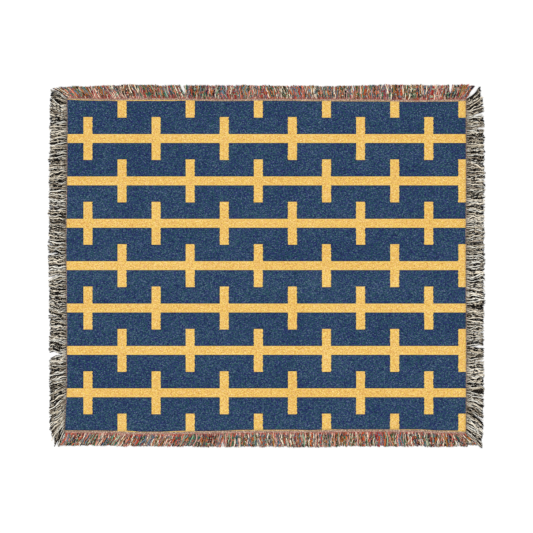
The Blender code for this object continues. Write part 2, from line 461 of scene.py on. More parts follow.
class ThrowFringeSettings(bpy.types.PropertyGroup):
    """How the fringe yarns are made and lie."""

    yarn_width: metres("Yarn width", "Width of one fringe yarn near its root", 0.0020)
    yarn_pitch: metres("Yarn pitch", "From one yarn to the next in a tuft", 0.0012)
    bed_pitch: metres("Bed pitch", "From one yarn to the next under the tufts", 0.0019)
    end_tuft: metres("End tuft", "Width of a tuft at the top and bottom", 0.0025)
    side_tuft: metres("Side tuft", "Width of a tuft at the left and right", 0.0029)
    crinkle: metres("Crinkle", "How far one yarn waves to and fro", 0.0006)
    raised: metres("Raised", "How high tufts lie above the yarns under them", 0.0022)


class ThrowStageSettings(bpy.types.PropertyGroup):
    """The floor, the light and the camera."""

    camera_height: metres("Camera height", "How high the camera hangs over the cloth", 6.0)
    frame_width: metres("Frame width", "How much floor the picture takes in", 1.861)
    aim_y: metres("Aim", "How far up the cloth the camera aims", -0.003)
    sky: share_of("Sky", "Strength of the even light from all round", 0.95)
    lamp: share_of("Lamp", "Strength of the soft lamp at the upper left", 0.75)
    floor: dye("Floor", "Pale floor under the throw", 250, 250, 250)


# The cloth's edges, and the locks that its fringe is parted into

TIP_ROOM = 0.75  # how much of its widening towards the tips a lock's yarns are counted for


def eased(rows, place, column):
    """A table's column at this place, easing from each row to the next."""
    for before, after in zip(rows, rows[1:]):
        if place <= after.place:
            share = (place - before.place) / (after.place - before.place)
            share = max(0.0, share)
            share = share * share * (3.0 - 2.0 * share)
            low = getattr(before, column)
            high = getattr(after, column)
            return low + (high - low) * share
    return getattr(rows[-1], column)


def smooth_step(low, high, value):
    """0 below low, 1 above high, and an easy curve between them."""
    share = np.clip((value - low) / (high - low), 0.0, 1.0)
    return share * share * (3.0 - 2.0 * share)


class Edge:
    """One side of the panel, with points given by the way along it and the way out from it."""

    def __init__(self, side):
        self.side = side
        self.short_name = side.name.replace("fringe_", "")
        self.start = Vector((side.start.x, side.start.y))
        run = Vector((side.end.x, side.end.y)) - self.start
        self.length = run.length
        self.along = run.normalized()
        across = Vector((-self.along.y, self.along.x))
        self.outward = across if across.dot(self.start) > 0.0 else -across
        self.chance = random.Random(side.name)
        partings = self.part_the_panel_side()
        self.turns = [0.0] + partings[2:-2:2] + [self.length]
        past_start = [-side.past_start] if side.past_start else []
        past_end = [self.length + side.past_end] if side.past_end else []
        self.roots = past_start + partings + past_end

    def part_the_panel_side(self):
        """Where the fringe is parted between the panel's corners, a little unevenly."""
        side = self.side
        count = side.locks - bool(side.past_start) - bool(side.past_end)
        inner = [
            self.length * number / count + self.chance.uniform(-1, 1) * SPACING_JITTER
            for number in range(1, count)
        ]
        return [0.0] + inner + [self.length]

    def bow(self, way):
        """How far the panel's edge stands out here. It runs straight from turn to turn."""
        for low, high in zip(self.turns, self.turns[1:]):
            if 0.0 <= way <= high:
                share = (way - low) / (high - low)
                before = eased(self.side.bows, low / self.length, "bow")
                after = eased(self.side.bows, high / self.length, "bow")
                return before + (after - before) * share
        return 0.0

    def point(self, way, out, height=0.0):
        """A point this way along the side and this far out from the panel's own edge."""
        flat = self.start + self.along * way + self.outward * (self.bow(way) + out)
        return Vector((flat.x, flat.y, height))


class Parting:
    """The line between two neighbouring locks, from the heading out to their tips."""

    def __init__(self, edge, root):
        chance = edge.chance
        looseness = 0.0 if root in (edge.roots[0], edge.roots[-1]) else 1.0
        lean = eased(edge.side.brushing, root / edge.length, "lean")
        lean += chance.uniform(-1, 1) * LEAN_JITTER * looseness
        self.root = root
        self.slope = math.tan(math.radians(lean))
        self.sway = chance.uniform(-1, 1) * SWAY * looseness
        self.phase = chance.uniform(0, math.tau)

    def sideways(self, out):
        """How far along the side the line has moved once it is this far out."""
        turn = math.tau * out / SWAY_WAVELENGTH
        return self.slope * out + self.sway * (np.sin(turn + self.phase) - math.sin(self.phase))


class Lock:
    """A bundle of yarn ends between two partings: where it is rooted and how it lies."""

    def __init__(self, edge, before, after):
        self.before = before
        self.after = after
        place = (before.root + after.root) / 2 / edge.length
        shorter = edge.chance.uniform(0, 1) * REACH_JITTER
        self.reach = eased(edge.side.brushing, place, "reach") - shorter
        self.root = (before.root + after.root) / 2
        self.foot = edge.point(self.root, SEAT_GAP + edge.side.heading)
        tips = self.after.sideways(self.reach) - self.before.sideways(self.reach)
        self.spread = after.root - before.root + tips * TIP_ROOM

    def across(self, out, share):
        """How far along the side from the lock's root a yarn lies, once it is this far out."""
        low = self.before.root + self.before.sideways(out)
        high = self.after.root + self.after.sideways(out)
        return (low + high) / 2 - self.root + (share - 0.5) * (high - low)


def locks_of(edge):
    """The locks of one side, each between two neighbouring partings."""
    partings = [Parting(edge, root) for root in edge.roots]
    return [Lock(edge, before, after) for before, after in zip(partings, partings[1:])]


# Meshes


def show_mesh(name, points, faces, maps, materials):
    """Makes a piece of points, faces and UV maps, with its place in its mesh."""
    mesh = bpy.data.meshes.new(name)
    mesh.from_pydata(points, [], faces)
    for map_name, places in maps.items():
        layer = mesh.uv_layers.new(name=map_name)
        layer.data.foreach_set("uv", np.asarray(places, np.float32).ravel())
    for material in materials:
        mesh.materials.append(material)
    mesh.polygons.foreach_set("use_smooth", np.full(len(mesh.polygons), True))
    mesh.update()
    piece = bpy.data.objects.new(name, mesh)
    bpy.context.scene.collection.objects.link(piece)
    return piece


def grid_faces(columns, rows, first, turned):
    """Quads over a grid of points."""
    faces = []
    for row in range(rows):
        for column in range(columns):
            ring = [(column, row), (column + 1, row), (column + 1, row + 1), (column, row + 1)]
            if turned:
                ring.reverse()
            faces.append([first + place[1] * (columns + 1) + place[0] for place in ring])
    return faces


# Materials

YARN_ROUGHNESS = 0.92
CLOTH_SHEEN = 0.12
FRINGE_SHEEN = 0.03

# The sockets that a Mix node has for colours
MIX_SHARE = 0
MIX_FIRST = 6
MIX_SECOND = 7
MIX_RESULT = 2

# The weave: how far single stitches and clusters of them differ in tone, and how many clusters
# there are to the metre
STITCH_TONES = 0.95
CLUSTER_TONES = 2.0
CLUSTER_SCALE = 210.0
STRAY_DRAWS = ((0.0, 0.28), (0.72, 1.0))  # draws that give the first and second stray colour
EDGE_SHADING_WIDTH = 0.0045  # how wide a bar's painted highlight rim is, and the painted shade on the ground beside it
RIM_HIGHLIGHT = 0.5  # how much of the painted highlight shows at the bar's outline
FOOT_SHADE = 0.35  # and how much of the painted shade on the ground beside it
BAR_RELIEF = 0.5  # how far bars stand out, against the height of a stitch
WEAVE_DIP_SHADE = 0.83  # painted shade: brightness of the dips between stitches
WEAVE_TOP_HIGHLIGHT = 0.24  # painted highlight: how much brighter their tops are

# Broad patches of lighter and darker tone, and faint bands of them across and up the cloth
Band = namedtuple("Band", "stretch_x stretch_y strength")
BANDS = (Band(1.0, 1.0, 0.20), Band(0.10, 1.0, 0.30), Band(1.0, 0.10, 0.18))
BAND_SCALE = 8.0
BAND_LAYERS = 5.0  # how far apart their layers of noise lie

# The headings: the size of a stitch, how far the lines of colour wander, how much stray colour
# shows, the speckle of single fibres, its brightness, and the painted shade in the dips and painted
# highlight on the tops of the stitches, as in the weave
HEADING_STITCH = 0.0030
HEADING_RIB = 0.0024
WANDER_SCALE = 160.0
WANDER = 0.55
STRAY_SHARE = 1.7
SPECKLE_SCALE = 330.0
SPECKLE_STRETCH = 0.6
SPECKLE_TONES = 2.5
HEADING_TONE = 0.94
# painted shade in the dips between stitches, and painted highlight on their tops
HEADING_DIP_SHADE = 0.72
HEADING_TOP_HIGHLIGHT = 0.34
HEADING_RELIEF = 0.0005

# The fringe yarns: a second dye comes and goes in patches along each kind of yarn. The steps and
# layers keep the kinds apart in the noise.
DYE_STEP = 7.31
PATCH_STEP = 3.17
PATCH_LAYER = 5.0
PATCH_SCALE = 4.5
SECOND_DYE = 0.9  # how far along the dyes the second one may lie
PATCH_SHARE = 0.8  # how much of it shows in a patch
TONE_LAYER = 4.0
DARKEST_KIND = 0.82
KIND_TONES = 0.36
TWISTS = 13.0  # turns of the plies from a yarn's root to its tip
PLIES = 2.0
PLY_ROUNDING = 0.6  # the lower, the flatter the top of a ply
PLY_DIP_SHADE = 0.7  # painted shade: brightness between the plies
PLY_TOP_HIGHLIGHT = 0.4  # painted highlight: how much brighter their tops are
PLY_RELIEF = 0.0004


class Finish:
    """One procedural material. Each step adds a node and hands back what comes out of it."""

    def __init__(self, name, roughness, sheen):
        self.material = bpy.data.materials.new(name)
        self.material.use_nodes = True
        self.nodes = self.material.node_tree.nodes
        self.links = self.material.node_tree.links
        self.shader = self.nodes["Principled BSDF"]
        self.shader.inputs["Roughness"].default_value = roughness
        self.shader.inputs["Specular IOR Level"].default_value = 0.2
        self.shader.inputs["Sheen Weight"].default_value = sheen
        self.shader.inputs["Sheen Roughness"].default_value = 0.5

    def feed(self, socket, value):
        """Sets a socket, or links it to an earlier step."""
        if isinstance(value, bpy.types.NodeSocket):
            self.links.new(value, socket)
        elif hasattr(value, "__len__") and len(value) == 3 and len(socket.default_value) == 4:
            socket.default_value = (*value, 1.0)
        else:
            socket.default_value = value

    def sum(self, operation, *values):
        """One step of arithmetic."""
        node = self.nodes.new("ShaderNodeMath")
        node.operation = operation
        for socket, value in zip(node.inputs, values):
            self.feed(socket, value)
        return node.outputs[0]

    def swing(self, value, size):
        """A number between 0 and 1, turned into one that swings round zero, by this much in all."""
        return self.sum("MULTIPLY", self.sum("SUBTRACT", value, 0.5), size)

    def rising(self, value, rise, base):
        """The base where a number is 0, and higher by the rise where it is 1."""
        return self.sum("ADD", self.sum("MULTIPLY", value, rise), base)

    def fading(self, value, reach, strength):
        """The strength where a number is 0, fading evenly to nothing at this reach."""
        left = self.sum("SUBTRACT", 1.0, self.sum("DIVIDE", value, reach))
        return self.sum("MULTIPLY", self.sum("MAXIMUM", left, 0.0), strength)

    def way(self, map_name):
        """The two directions of one of the piece's maps, and both together."""
        node = self.nodes.new("ShaderNodeUVMap")
        node.uv_map = map_name
        split = self.nodes.new("ShaderNodeSeparateXYZ")
        self.links.new(node.outputs[0], split.inputs[0])
        return split.outputs[0], split.outputs[1], node.outputs[0]

    def pair(self, x, y, z=0.0):
        """Two or three numbers as one place."""
        node = self.nodes.new("ShaderNodeCombineXYZ")
        for socket, value in zip(node.inputs, (x, y, z)):
            self.feed(socket, value)
        return node.outputs[0]

    def dice(self, place):
        """A number and a colour drawn by chance for this place."""
        node = self.nodes.new("ShaderNodeTexWhiteNoise")
        node.noise_dimensions = "3D"
        self.links.new(place, node.inputs["Vector"])
        return node.outputs["Value"], node.outputs["Color"]

    def clouds(self, place, scale, detail=2.0):
        """Soft noise, most of it between a third and two thirds."""
        node = self.nodes.new("ShaderNodeTexNoise")
        node.noise_dimensions = "3D"
        node.inputs["Scale"].default_value = scale
        node.inputs["Detail"].default_value = detail
        node.inputs["Roughness"].default_value = 0.55
        self.links.new(place, node.inputs["Vector"])
        return node.outputs[0]

    def ramp(self, value, stops, how="LINEAR"):
        """A colour picked from stops of (place, colour)."""
        node = self.nodes.new("ShaderNodeValToRGB")
        node.color_ramp.interpolation = how
        elements = node.color_ramp.elements
        while len(elements) > 1:
            elements.remove(elements[-1])
        elements[0].position = stops[0][0]
        elements[0].color = (*stops[0][1], 1.0)
        for place, colour in stops[1:]:
            elements.new(place).color = (*colour, 1.0)
        self.feed(node.inputs[0], value)
        return node.outputs[0]

    def mix(self, share, first, second):
        """Two colours mixed."""
        node = self.nodes.new("ShaderNodeMix")
        node.data_type = "RGBA"
        node.clamp_factor = True
        self.feed(node.inputs[MIX_SHARE], share)
        self.feed(node.inputs[MIX_FIRST], first)
        self.feed(node.inputs[MIX_SECOND], second)
        return node.outputs[MIX_RESULT]

    def brighten(self, colour, strength):
        """A colour with all its channels multiplied by one number."""
        node = self.nodes.new("ShaderNodeVectorMath")
        node.operation = "SCALE"
        self.feed(node.inputs[0], colour)
        self.feed(node.inputs["Scale"], strength)
        return node.outputs[0]

    def bump(self, height, depth):
        """Low relief of this depth in metres."""
        node = self.nodes.new("ShaderNodeBump")
        node.inputs["Strength"].default_value = 1.0
        node.inputs["Distance"].default_value = depth
        self.links.new(height, node.inputs["Height"])
        self.links.new(node.outputs[0], self.shader.inputs["Normal"])

    def colour(self, colour):
        """The finished colour."""
        self.links.new(colour, self.shader.inputs["Base Color"])


def rounded(finish, place):
    """The rounded top of a yarn that is one wide, from 0 at its sides to 1 in its middle."""
    part = finish.sum("FRACT", place)
    return finish.sum("SINE", finish.sum("MULTIPLY", part, math.pi))


def stitch_top(finish, one_way, other_way):
    """The rounded top of a stitch, from 0 in the dips round it to 1 in its middle."""
    hump = finish.sum("MULTIPLY", rounded(finish, one_way), rounded(finish, other_way))
    return finish.sum("POWER", hump, 0.5)


def from_nearest(finish, way, first, pitch):
    """How far a place is from the nearest of a row of lines that stand a pitch apart."""
    turn = finish.sum("DIVIDE", finish.sum("SUBTRACT", way, first), pitch)
    part = finish.sum("SUBTRACT", turn, finish.sum("ROUND", turn))
    return finish.sum("MULTIPLY", finish.sum("ABSOLUTE", part), pitch)


def stray(finish, chance, colour, strays):
    """Every so often a stitch takes one of two stray colours."""
    for limit, (other, share) in zip(STRAY_DRAWS, strays):
        above = finish.sum("GREATER_THAN", chance, limit[0])
        below = finish.sum("LESS_THAN", chance, limit[1])
        here = finish.sum("MULTIPLY", finish.sum("MULTIPLY", above, below), share)
        colour = finish.mix(here, colour, other)
    return colour


def inside_bars(finish, weave, x, y):
    """How far inside a bar a place is. Crossbars in odd rows stand between the even ones."""
    from_row = from_nearest(finish, y, 0.0, weave.row_pitch)
    inside = finish.sum("SUBTRACT", weave.bar_thickness / 2, from_row)
    for odd in (0, 1):
        first = weave.first_bar + odd * weave.bar_spacing / 2
        from_bar = from_nearest(finish, x, first, weave.bar_spacing)
        from_row = from_nearest(finish, y, odd * weave.row_pitch, weave.row_pitch * 2)
        in_width = finish.sum("SUBTRACT", weave.bar_width / 2, from_bar)
        in_length = finish.sum("SUBTRACT", weave.bar_length / 2, from_row)
        crossbar = finish.sum("MINIMUM", in_width, in_length)
        inside = finish.sum("MAXIMUM", inside, crossbar)
    return inside


def weave_finish(name, weave, ground, bars, ground_strays, bar_strays, edge_shade_and_highlight):
    """Woven cloth: staggered stitches of yarn that make long bars and crossbars on a ground."""
    finish = Finish(name, YARN_ROUGHNESS, CLOTH_SHEEN)
    x, y, place = finish.way(CLOTH_WAY)

    # One stitch of the weave, and the yarn crossing that decides whether it shows gold
    up = finish.sum("DIVIDE", y, weave.pick)
    row = finish.sum("FLOOR", up)
    stagger = finish.sum("MULTIPLY", finish.sum("FLOORED_MODULO", row, 2.0), 0.5)
    across = finish.sum("ADD", finish.sum("DIVIDE", x, weave.float_length), stagger)
    column = finish.sum("FLOOR", across)
    chance, chances = finish.dice(finish.pair(column, row))
    split = finish.nodes.new("ShaderNodeSeparateColor")
    finish.links.new(chances, split.inputs[0])
    half_float = weave.float_length / 2
    stitch_x = finish.sum("FLOOR", finish.sum("DIVIDE", x, half_float))
    stitch_x = finish.sum("MULTIPLY", finish.sum("ADD", stitch_x, 0.5), half_float)
    stitch_x = finish.sum("ADD", stitch_x, finish.swing(split.outputs[1], half_float))
    stitch_y = finish.sum("MULTIPLY", finish.sum("ADD", row, 0.5), weave.pick)
    inside = inside_bars(finish, weave, stitch_x, stitch_y)
    is_bar = finish.sum("GREATER_THAN", inside, 0.0)

    # Each stitch's own tone, with soft clusters of lighter and darker ones
    cluster = finish.clouds(place, CLUSTER_SCALE, detail=1.5)
    cluster = finish.swing(cluster, CLUSTER_TONES)
    tone = finish.swing(chance, STITCH_TONES)
    tone = finish.sum("ADD", finish.sum("ADD", tone, 0.5), cluster)
    for layer, band in enumerate(BANDS):
        band_x = finish.sum("MULTIPLY", x, band.stretch_x)
        band_y = finish.sum("MULTIPLY", y, band.stretch_y)
        band_place = finish.pair(band_x, band_y, BAND_LAYERS * layer)
        shade = finish.clouds(band_place, BAND_SCALE, detail=1.0)
        tone = finish.sum("ADD", tone, finish.swing(shade, band.strength))
    ground_colour = stray(finish, split.outputs[2], finish.ramp(tone, ground), ground_strays)
    bar_colour = stray(finish, split.outputs[2], finish.ramp(tone, bars), bar_strays)

    # The bars stand a little proud in the bump; their rims get a painted highlight and the ground
    # beside them a painted shade
    rim = finish.fading(inside, EDGE_SHADING_WIDTH, RIM_HIGHLIGHT)
    bar_colour = finish.mix(rim, bar_colour, edge_shade_and_highlight[1])
    foot = finish.fading(inside, -EDGE_SHADING_WIDTH, FOOT_SHADE)
    ground_colour = finish.mix(foot, ground_colour, edge_shade_and_highlight[0])
    colour = finish.mix(is_bar, ground_colour, bar_colour)

    # Rounded stitches, with painted shade in the dips between them and a painted highlight on their
    # tops
    hump = stitch_top(finish, up, across)
    finish.colour(finish.brighten(colour, finish.rising(hump, WEAVE_TOP_HIGHLIGHT, WEAVE_DIP_SHADE)))
    relief = finish.sum("ADD", hump, finish.sum("MULTIPLY", is_bar, BAR_RELIEF))
    finish.bump(relief, weave.relief)
    return finish.material


def heading_finish(name, width, stops, strays):
    """A narrow ribbed band: yarns that run across it in mixed tones, lighter beside the cloth."""
    finish = Finish(name, YARN_ROUGHNESS, CLOTH_SHEEN)
    along, across, place = finish.way(CLOTH_WAY)
    yarn = finish.sum("DIVIDE", along, HEADING_STITCH)
    rib = finish.sum("DIVIDE", across, HEADING_RIB)
    cell = finish.pair(finish.sum("FLOOR", yarn), finish.sum("FLOOR", rib))
    chance, _ = finish.dice(cell)

    # Lines of colour along the band, and stitches that stray from them
    wander = finish.swing(finish.clouds(place, WANDER_SCALE, detail=1.0), WANDER)
    level = finish.sum("ADD", finish.sum("DIVIDE", across, width), wander)
    colour = finish.ramp(level, stops)
    off_middle = finish.sum("ABSOLUTE", finish.sum("SUBTRACT", chance, 0.5))
    share = finish.sum("MULTIPLY", off_middle, STRAY_SHARE)
    colour = finish.mix(share, colour, finish.ramp(chance, strays))

    # Speckle, and rounded stitches with painted shade in the dips between them and a painted
    # highlight on their tops
    speckle_place = finish.pair(along, finish.sum("MULTIPLY", across, SPECKLE_STRETCH))
    speckle = finish.clouds(speckle_place, SPECKLE_SCALE, detail=1.0)
    tone = finish.sum("ADD", finish.swing(speckle, SPECKLE_TONES), HEADING_TONE)
    colour = finish.brighten(colour, tone)
    hump = stitch_top(finish, yarn, rib)
    finish.colour(finish.brighten(colour, finish.rising(hump, HEADING_TOP_HIGHLIGHT, HEADING_DIP_SHADE)))
    finish.bump(hump, HEADING_RELIEF)
    return finish.material


def yarn_finish(name, dyes, roots, root_share, root_length, patches):
    """Two-ply yarn in many dyes. Its map has the kinds side by side, and their length upwards."""
    finish = Finish(name, YARN_ROUGHNESS, FRINGE_SHEEN)
    kind_and_round, along, _ = finish.way(PICTURE_MAP)
    spread = finish.sum("MULTIPLY", kind_and_round, float(KINDS))
    kind = finish.sum("FLOOR", spread)
    around = finish.sum("FRACT", spread)
    step = 1.0 / len(dyes)
    stops = [(number * step, colour) for number, colour in enumerate(dyes)]
    colour = finish.ramp(kind_and_round, stops, "CONSTANT")

    # The yarn changes shade along its length, as its plies come and go
    slow = finish.pair(finish.sum("MULTIPLY", kind, DYE_STEP), along)
    slow = finish.clouds(slow, PATCH_SCALE, detail=1.0)
    other = finish.sum("ADD", kind_and_round, finish.sum("MULTIPLY", slow, SECOND_DYE))
    other = finish.ramp(finish.sum("FRACT", other), stops, "CONSTANT")
    patch = finish.pair(finish.sum("MULTIPLY", kind, PATCH_STEP), along, PATCH_LAYER)
    patch = finish.sum("LESS_THAN", finish.clouds(patch, PATCH_SCALE), patches)
    colour = finish.mix(finish.sum("MULTIPLY", patch, PATCH_SHARE), colour, other)

    # Tone drawn for each kind, dyed roots, and the twist of the plies, with painted shade between
    # the plies and a painted highlight on their tops
    chance, _ = finish.dice(finish.pair(kind, TONE_LAYER))
    tone = finish.rising(chance, KIND_TONES, DARKEST_KIND)
    at_root = finish.fading(along, root_length, root_share)
    colour = finish.mix(at_root, colour, finish.ramp(chance, roots, "CONSTANT"))
    twist = finish.sum("ADD", finish.sum("MULTIPLY", along, TWISTS), around)
    ply = rounded(finish, finish.sum("MULTIPLY", twist, PLIES))
    ply = finish.sum("POWER", ply, PLY_ROUNDING)
    tone = finish.sum("MULTIPLY", tone, finish.rising(ply, PLY_TOP_HIGHLIGHT, PLY_DIP_SHADE))
    finish.colour(finish.brighten(colour, tone))
    finish.bump(ply, PLY_RELIEF)
    return finish.material


# The woven panel

# Ripples of the laid cloth: their lengths across and up it, their layer of noise and strength
Ripple = namedtuple("Ripple", "across up layer strength")
RIPPLES = (Ripple(0.21, 0.15, 3.7, 0.6), Ripple(0.07, 0.09, 9.1, 0.2))
MEAN_LIFT = 0.5
FLAT_MARGIN = 0.06  # how far in from its edges the cloth lies flatter

CLOTH_WIDTH = 1.39
CLOTH_LENGTH = 1.15
CLOTH_LAP = 0.0002  # how far the sheet reaches past the solid's edge
END_BAR = 4  # the long bar whose rim shows at each end, counted from the middle one

# The sheet's picture has the reverse at the bottom, the face above it, and the rim between them
BACK_LOW = 0.002
BACK_SPAN = 0.176
RIM_LOW = 0.1785
RIM_HIGH = 0.1815
FACE_LOW = 0.182
FACE_SPAN = 0.816


def lift_of(point, settings, inside):
    """How far the laid cloth lifts off the floor here. It lies flat along its edges."""
    lifted = MEAN_LIFT
    for ripple in RIPPLES:
        place = Vector((point.x / ripple.across, point.y / ripple.up, ripple.layer))
        lifted += ripple.strength * noise.noise(place)
    return settings.ripple * max(0.0, lifted) * float(smooth_step(0.0, FLAT_MARGIN, inside))


def cloth_point(edges, across, up, out):
    """A point of the panel, by its shares across and up, spanned between all four edges."""
    left, right = edges["fringe_left"], edges["fringe_right"]
    bottom, top = edges["fringe_bottom"], edges["fringe_top"]
    low = bottom.point(across * bottom.length, out)
    high = top.point(across * top.length, out)
    near = left.point(up * left.length, out)
    far = right.point(up * right.length, out)
    corners = [
        (bottom.point(0.0, out) + left.point(0.0, out)) / 2,
        (bottom.point(bottom.length, out) + right.point(0.0, out)) / 2,
        (top.point(0.0, out) + left.point(left.length, out)) / 2,
        (top.point(top.length, out) + right.point(right.length, out)) / 2,
    ]
    spanned = low * (1 - up) + high * up + near * (1 - across) + far * across
    spanned -= corners[0] * (1 - across) * (1 - up) + corners[1] * across * (1 - up)
    spanned -= corners[2] * (1 - across) * up + corners[3] * across * up
    return spanned


def line_width(share_across, is_top):
    """How wide a line of the last long bar shows along the top or bottom edge."""
    return eased(TOP_LINE if is_top else BOTTOM_LINE, share_across, "width")


def make_panel(edges, settings, weave, finishes):
    """The woven cloth: a thin sheet that lies in low ripples, with a face and a reverse."""
    columns, rows = settings.columns, settings.rows
    end_bar = END_BAR * weave.row_pitch - weave.bar_thickness / 2
    across = np.linspace(0.0, 1.0, columns + 1)
    up = np.linspace(0.0, 1.0, rows + 1)
    upper = []
    lower = []
    for share_up in up:
        for share_across in across:
            point = cloth_point(edges, share_across, share_up, CLOTH_LAP)
            inside = min(share_across, 1 - share_across) * CLOTH_WIDTH
            inside = min(inside, min(share_up, 1 - share_up) * CLOTH_LENGTH)
            lift = FLOOR_GAP + lift_of(point, settings, inside)
            lower.append((point.x, point.y, lift))
            upper.append((point.x, point.y, lift + settings.thickness))
    per_side = len(upper)
    face_quads = grid_faces(columns, rows, 0, False)
    back_quads = grid_faces(columns, rows, per_side, True)
    rim_quads, rim_corners = rim_faces(columns, rows, per_side)
    points = upper + lower

    # The bars lie straight, but the rim of the next long bar follows the top and bottom edges
    def way(number):
        x, y, _ = points[number]
        row, column = divmod(number % per_side, columns + 1)
        if row in (0, rows):
            y = math.copysign(end_bar + line_width(column / columns, row == rows), y)
        return x, y

    def picture(number, low, span):
        row, column = divmod(number % per_side, columns + 1)
        return PICTURE_RIM + column / columns * PICTURE_SPAN, low + row / rows * span

    quads = face_quads + back_quads + rim_quads
    ways = [way(number) for quad in quads for number in quad]
    places = [picture(number, FACE_LOW, FACE_SPAN) for quad in face_quads for number in quad]
    places += [picture(number, BACK_LOW, BACK_SPAN) for quad in back_quads for number in quad]
    places += [corner for quad in rim_corners for corner in quad]
    piece = show_mesh(
        "woven_cloth", points, quads, {CLOTH_WAY: ways, PICTURE_MAP: places}, finishes
    )
    kinds = [0] * len(face_quads) + [1] * len(back_quads) + [0] * len(rim_quads)
    piece.data.polygons.foreach_set("material_index", kinds)
    return piece


def rim_faces(columns, rows, per_side):
    """The narrow faces round the sheet's rim, and their places in the gap between its pictures."""
    ring = [(column, 0) for column in range(columns)]
    ring += [(columns, row) for row in range(rows)]
    ring += [(column, rows) for column in range(columns, 0, -1)]
    ring += [(0, row) for row in range(rows, 0, -1)]
    numbers = [place[1] * (columns + 1) + place[0] for place in ring]
    quads = []
    corners = []
    for order, (here, there) in enumerate(zip(numbers, numbers[1:] + numbers[:1])):
        quads.append([there, here, here + per_side, there + per_side])
        low, high = order / len(numbers), (order + 1) / len(numbers)
        corners.append([(high, RIM_HIGH), (low, RIM_HIGH), (low, RIM_LOW), (high, RIM_LOW)])
    return quads, corners


# The headings

HEADING_TUCK = 0.0005  # how far a heading reaches past its solid's inner edge
HEADING_LAP = 0.0004  # and past the outer one
HEADING_HEIGHT = 0.0022
RIB_PITCH = 0.0019
RIB_HEIGHT = 0.00030
RIB_STEPS = 4  # faces across one rib
ROUNDING = 0.0006  # how far its edges are rounded down
ROUNDING_ENDS = 7.0  # the rounding ends at one part in this many of the width
STATION = 0.007  # length of one row of faces along a heading
UNEVEN = 0.00015  # how far its height wavers
UNEVEN_LENGTH = 0.012
UNEVEN_LAYERS = 900  # keeps headings of unlike widths apart in the noise

# A heading's picture is cut into folds that lie above each other. The two end faces lie side by
# side in its lowest corner.
FOLDS = 16
FOLD_LOW = 0.04
FOLD_SPAN = 0.92
CAP_WIDTH = 0.003
CAP_HEIGHT = 0.001
CAP_LOW = 0.0002
CAP_STEP = 0.004  # from one end face to the other
CAP_TOP = 0.0026  # height of a heading that fills CAP_HEIGHT


def heading_profile(width):
    """The outline across a heading, in ways out from the panel's edge and heights."""
    inner = SEAT_GAP - HEADING_TUCK
    outer = SEAT_GAP + width + HEADING_LAP
    ribs = max(2, round(width / RIB_PITCH))
    steps = ribs * RIB_STEPS
    profile = []
    for step in range(steps + 1):
        share = step / steps
        crest = RIB_HEIGHT * math.sin(math.pi * share * ribs) ** 2
        level = min(1.0, min(share, 1.0 - share) * ROUNDING_ENDS)
        rounding = ROUNDING * (1.0 - level) ** 2
        profile.append((inner + (outer - inner) * share, HEADING_HEIGHT + crest - rounding))
    return profile + [(outer, FLOOR_GAP), (inner, FLOOR_GAP)]


def turned_over(faces, *corner_lists):
    """The faces as seen from the other side, and what the lists hold for their corners."""
    turned_faces = []
    order = []
    first = 0
    for face in faces:
        turned_faces.append(face[::-1])
        order += range(first + len(face) - 1, first - 1, -1)
        first += len(face)
    turned_lists = [[held[number] for number in order] for held in corner_lists]
    return turned_faces, *turned_lists


def make_heading(edge, finish):
    """The narrow woven strip between the cloth and the fringe, with low ribs along it."""
    width = edge.side.heading
    profile = heading_profile(width)
    outer, inner = profile[-2][0], profile[-1][0]
    start, end = edge.roots[0], edge.roots[-1]
    per_fold = max(1, round((end - start) / STATION / FOLDS))
    stations = FOLDS * per_fold
    ways = np.linspace(start, end, stations + 1)
    points = []
    for way in ways:
        wave = UNEVEN * noise.noise(Vector((way / UNEVEN_LENGTH, width * UNEVEN_LAYERS, 1.0)))
        points += [tuple(edge.point(way, out, height + wave)) for out, height in profile]
    girth = [0.0]
    for before, after in zip(profile, profile[1:] + profile[:1]):
        girth.append(girth[-1] + math.dist(before, after))
    size = len(profile)
    faces = []
    along_and_across = []
    places = []
    for station in range(stations):
        fold = station // per_fold
        for corner in range(size):
            after = (corner + 1) % size
            ring = [(0, corner, corner), (0, after, corner + 1)]
            ring += [(1, after, corner + 1), (1, corner, corner)]
            faces.append([(station + ahead) * size + number for ahead, number, _ in ring])
            for ahead, _, turn in ring:
                along_and_across.append((ways[station + ahead] - start, girth[turn]))
                share = (station - fold * per_fold + ahead) / per_fold
                height = FOLD_LOW + FOLD_SPAN * girth[turn] / girth[-1]
                places.append((PICTURE_RIM + PICTURE_SPAN * share, (fold + height) / FOLDS))
    for first, is_far in ((0, False), (stations * size, True)):
        cap = [first + number for number in range(size)]
        if not is_far:
            cap.reverse()
        faces.append(cap)
        for number in cap:
            out, height = profile[number - first]
            along_and_across.append((0.0, out - inner))
            place = CAP_WIDTH * ((out - inner) / (outer - inner))
            base = CAP_STEP if is_far else 0.0
            places.append((base + place, CAP_LOW + CAP_HEIGHT * height / CAP_TOP))
    if edge.along.cross(edge.outward) < 0:
        faces, along_and_across, places = turned_over(faces, along_and_across, places)
    maps = {CLOTH_WAY: along_and_across, PICTURE_MAP: places}
    return show_mesh(edge.short_name + "_heading", points, faces, maps, [finish])


# The fringe

# How one kind of fringe is made: how wide a tuft is, rings along a yarn, how far tufts bend and
# whole stretches of fringe drift, how long those waves are, how far a tuft's tip strays, as a share
# of its lock, and how uneven the tips are, as a share of their reach. faithful is the share of a
# tuft's yarns that are of one kind. light and dark say how often each dye is drawn for a tuft.
Spinning = namedtuple(
    "Spinning", "tuft rings bend bend_length drift drift_length stray ragged faithful light dark"
)
Tuft = namedtuple("Tuft", "low high is_light")
UP = np.array([0.0, 0.0, 1.0])

